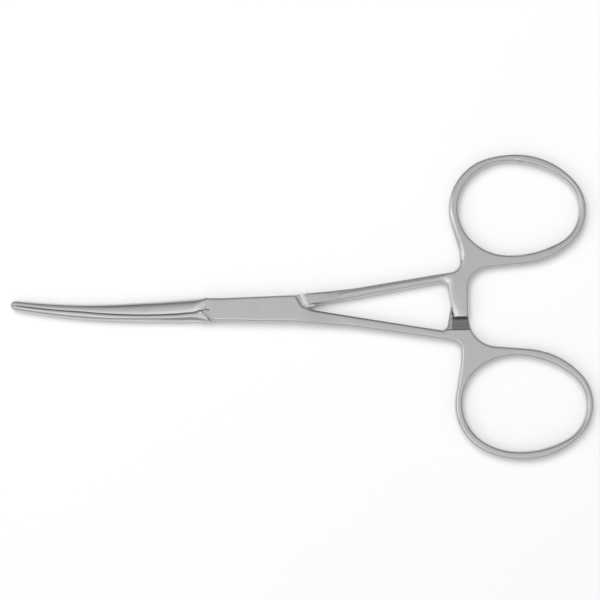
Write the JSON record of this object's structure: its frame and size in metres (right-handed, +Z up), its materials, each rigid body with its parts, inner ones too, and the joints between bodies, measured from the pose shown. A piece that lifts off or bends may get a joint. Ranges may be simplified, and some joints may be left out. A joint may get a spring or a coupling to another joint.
{
  "type": "vascular clamp",
  "caption": "Ring-handled box-lock vascular clamp, 140 mm, with gently curved jaws, a finger ring on each shank and a toothed ratchet between the shanks.",
  "frame": {"origin": "on the pivot axis, at the bottom face of the box lock, on which the clamp lies", "axes": "+X along the instrument from the pivot towards the finger rings, +Y from the female half's ring to the male half's ring, +Z up out of the box's face"},
  "size_m": [0.1399, 0.0735, 0.0046],
  "materials": {
    "steel": "satin",
    "pin_steel": "satin"
  },
  "bodies": {
    "female": {"female_half": "steel", "pivot_pin": "pin_steel"},
    "male": {"male_half": "steel"}
  },
  "joints": [
    {"name": "pivot", "type": "hinge", "parent": "female", "child": "male", "pos_m": [0, 0, 0.0023], "axis": [0, 0, 1], "range_deg": [0, 50]}
  ]
}
